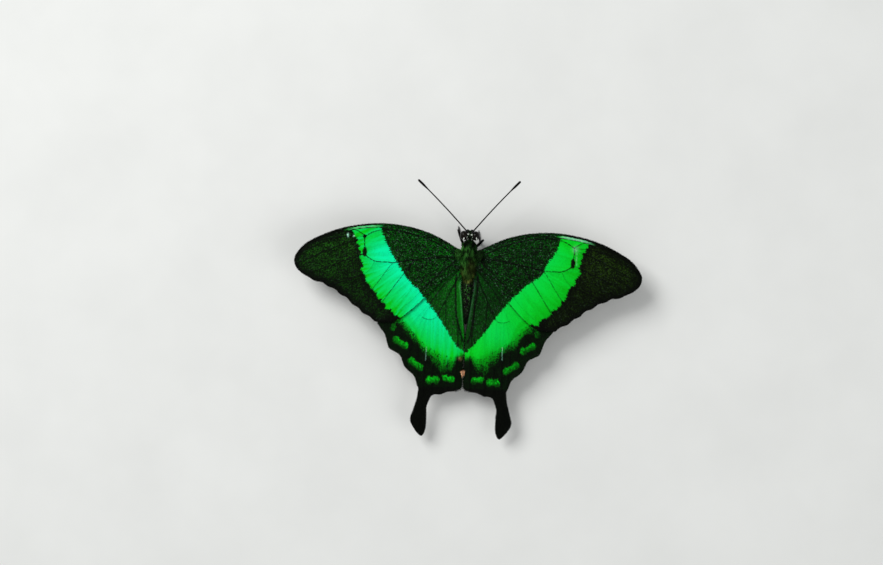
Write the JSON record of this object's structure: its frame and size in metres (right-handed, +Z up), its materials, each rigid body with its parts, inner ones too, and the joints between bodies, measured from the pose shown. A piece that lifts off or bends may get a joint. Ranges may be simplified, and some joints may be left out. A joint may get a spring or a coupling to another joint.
{
  "type": "emerald swallowtail butterfly model",
  "caption": "Life-size still model of an emerald swallowtail butterfly standing with its wings spread flat, black with a broad green band and spoon-shaped tails.",
  "frame": {"origin": "middle of the footprint on the floor, under the body's long axis", "axes": "+Z up, the head points to -Y and the butterfly's left wings lie towards +X"},
  "size_m": [0.0904, 0.0674, 0.0126],
  "materials": {
    "wing_scales": "overlapping powdery wing scales, black with a structural green band",
    "body_scales": "short scales and hair, black green with gold",
    "abdomen_scales": "short flat scales, near black",
    "dark_chitin": "satin dark shell",
    "compound_eye": "finely faceted dark brown eye"
  },
  "bodies": {
    "root": {"head": "body_scales", "collar": "body_scales", "thorax": "body_scales", "abdomen": "abdomen_scales", "proboscis": "dark_chitin", "eye_left": "compound_eye", "palp_left": "body_scales", "antenna_left": "dark_chitin", "antenna_club_left": "dark_chitin", "forewing_left": "wing_scales", "hindwing_left": "wing_scales", "tegula_left": "body_scales", "fore_coxa_left": "dark_chitin", "fore_femur_left": "dark_chitin", "fore_tibia_left": "dark_chitin", "fore_tarsus_left": "dark_chitin", "middle_coxa_left": "dark_chitin", "middle_femur_left": "dark_chitin", "middle_tibia_left": "dark_chitin", "middle_tarsus_left": "dark_chitin", "hind_coxa_left": "dark_chitin", "hind_femur_left": "dark_chitin", "hind_tibia_left": "dark_chitin", "hind_tarsus_left": "dark_chitin", "eye_right": "compound_eye", "palp_right": "body_scales", "antenna_right": "dark_chitin", "antenna_club_right": "dark_chitin", "forewing_right": "wing_scales", "hindwing_right": "wing_scales", "tegula_right": "body_scales", "fore_coxa_right": "dark_chitin", "fore_femur_right": "dark_chitin", "fore_tibia_right": "dark_chitin", "fore_tarsus_right": "dark_chitin", "middle_coxa_right": "dark_chitin", "middle_femur_right": "dark_chitin", "middle_tibia_right": "dark_chitin", "middle_tarsus_right": "dark_chitin", "hind_coxa_right": "dark_chitin", "hind_femur_right": "dark_chitin", "hind_tibia_right": "dark_chitin", "hind_tarsus_right": "dark_chitin"}
  },
  "joints": []
}
